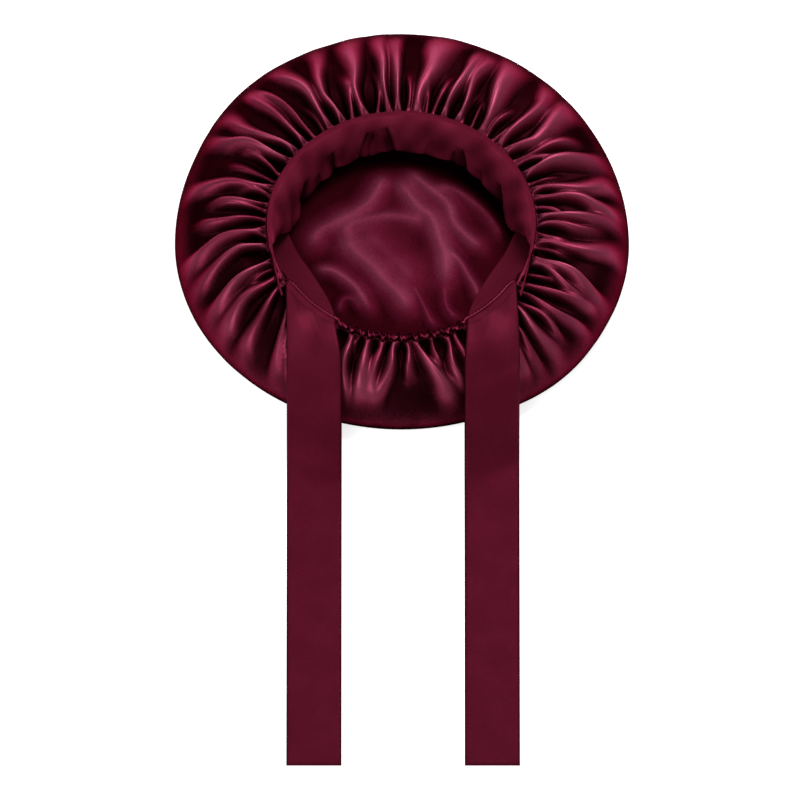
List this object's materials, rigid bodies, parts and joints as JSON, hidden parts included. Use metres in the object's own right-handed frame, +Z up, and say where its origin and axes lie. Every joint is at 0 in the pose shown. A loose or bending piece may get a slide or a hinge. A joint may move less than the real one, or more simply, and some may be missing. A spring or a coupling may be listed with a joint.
{
  "type": "sleep bonnet",
  "caption": "Round satin sleep bonnet lying crown down and opening up, gathered to a wide inner band in front and an elastic casing at the nape, with two flat ties.",
  "frame": {"origin": "on the surface that the bonnet lies on, under the middle of the opening, at the middle of the crown's underside", "axes": "+Z up out of the opening, +Y towards the forehead side, so the ties run towards -Y, and +X to the right seen with the ties towards the viewer"},
  "size_m": [0.3364, 0.616, 0.0533],
  "materials": {
    "crown_satin": "glossy wine-red satin, gathered",
    "band_satin": "wine-red satin, smooth double layer",
    "casing_satin": "wine-red satin casing over elastic, ruffled",
    "tie_satin": "wine-red satin, pressed flat double layer"
  },
  "bodies": {
    "root": {"crown": "crown_satin", "front_band": "band_satin", "nape_casing": "casing_satin", "tie_left": "tie_satin", "tie_right": "tie_satin"}
  },
  "joints": []
}
